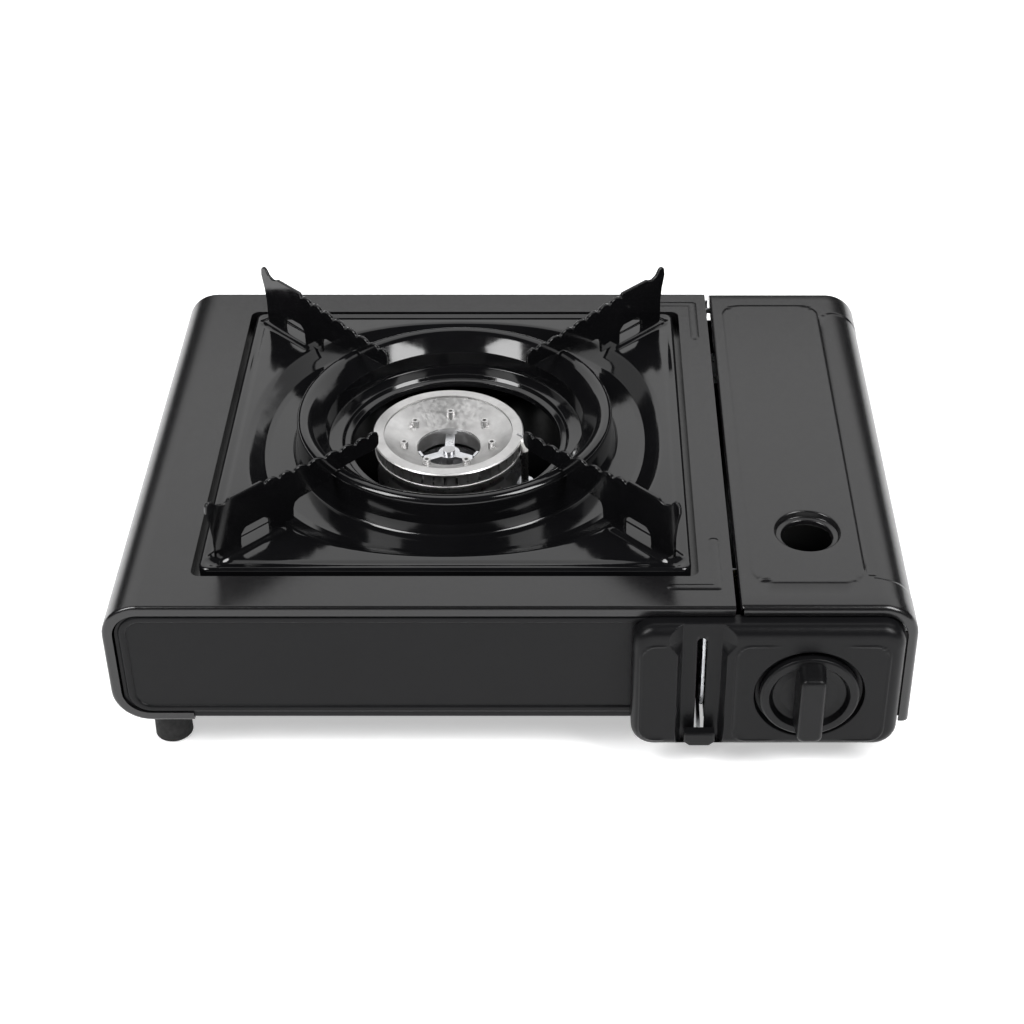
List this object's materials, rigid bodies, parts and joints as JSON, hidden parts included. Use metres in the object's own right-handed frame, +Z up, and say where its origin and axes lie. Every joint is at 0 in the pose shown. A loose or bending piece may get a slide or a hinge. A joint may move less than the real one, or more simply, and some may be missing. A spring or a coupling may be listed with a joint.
{
  "type": "butane cassette stove",
  "caption": "Tabletop butane stove: a burner in a lift-out drip tray with upright pan supports, a lidded cartridge bay, an ignition knob and a cartridge lock lever.",
  "frame": {"origin": "bottom centre of the bounding box, on the plane the feet stand on", "axes": "+X to the right as the user faces the knob, +Y to the rear, +Z up"},
  "size_m": [0.342, 0.2746, 0.1147],
  "materials": {
    "satin_black_coat": "satin charcoal-black powder coat",
    "black_coat": "satin black",
    "black_plastic": "fine-grained black",
    "black_enamel": "gloss black enamel",
    "cast_aluminium": "matt machined",
    "steel": "bright drawn",
    "zinc_steel": "bright zinc plate",
    "brass": "turned",
    "rubber": "matt",
    "silicone": "smooth red sleeve",
    "ceramic": "white glaze"
  },
  "bodies": {
    "shell": {"top_shell": "satin_black_coat", "base_pan": "black_coat", "bay_pan": "black_coat", "partition": "zinc_steel", "bay_bulkhead": "zinc_steel", "hinge_rod": "steel", "control_panel": "black_coat", "lever_bracket": "zinc_steel", "lever_pivot": "zinc_steel", "pusher_rivets": "zinc_steel", "regulator_body": "cast_aluminium", "diaphragm_cover": "zinc_steel", "cover_screws": "zinc_steel", "diaphragm_spring": "zinc_steel", "socket_seal": "rubber", "gas_pipe": "brass", "jet": "brass", "mixing_tube": "steel", "burner_bracket": "zinc_steel", "burner_cup": "steel", "burner_ring": "cast_aluminium", "burner_disc": "cast_aluminium", "burner_spider": "steel", "burner_screws": "zinc_steel", "igniter": "black_plastic", "ignition_lead": "silicone", "electrode_bracket": "zinc_steel", "electrode": "steel", "electrode_ceramic": "ceramic", "feet": "rubber", "foot_screws": "zinc_steel", "shell_screws": "zinc_steel"},
    "tray": {"drip_tray": "black_enamel", "pan_support_fl": "black_enamel", "pan_support_fr": "black_enamel", "pan_support_rl": "black_enamel", "pan_support_rr": "black_enamel"},
    "lid": {"cartridge_lid": "satin_black_coat", "lid_hinge_leaf": "zinc_steel"},
    "knob_set": {"knob": "black_plastic", "valve_stem": "brass"},
    "lever": {"lock_lever": "zinc_steel", "lever_cap": "black_plastic", "crank_pin": "zinc_steel"},
    "pusher": {"pusher_bar": "zinc_steel"}
  },
  "joints": [
    {"name": "tray_lift", "type": "slide", "parent": "shell", "child": "tray", "axis": [0, 0, 1], "range_m": [0, 0.06]},
    {"name": "lid_hinge", "type": "hinge", "parent": "shell", "child": "lid", "pos_m": [0.13, 0.13035, 0.077], "axis": [-1, 0, 0], "range_deg": [0, 85]},
    {"name": "knob_turn", "type": "hinge", "parent": "shell", "child": "knob_set", "pos_m": [0.126, -0.11715, 0.0426], "axis": [0, -1, 0], "range_deg": [0, 100]},
    {"name": "lever_swing", "type": "hinge", "parent": "shell", "child": "lever", "pos_m": [0.08, -0.05515, 0.042], "axis": [-1, 0, 0], "range_deg": [0, 37.2]},
    {"name": "pusher_slide", "type": "slide", "parent": "shell", "child": "pusher", "axis": [0, 1, 0], "range_m": [0, 0.008]}
  ],
  "couplings": [
    {"joint": "pusher_slide", "follows": "lever_swing", "m_per_rad": 0.01232}
  ]
}
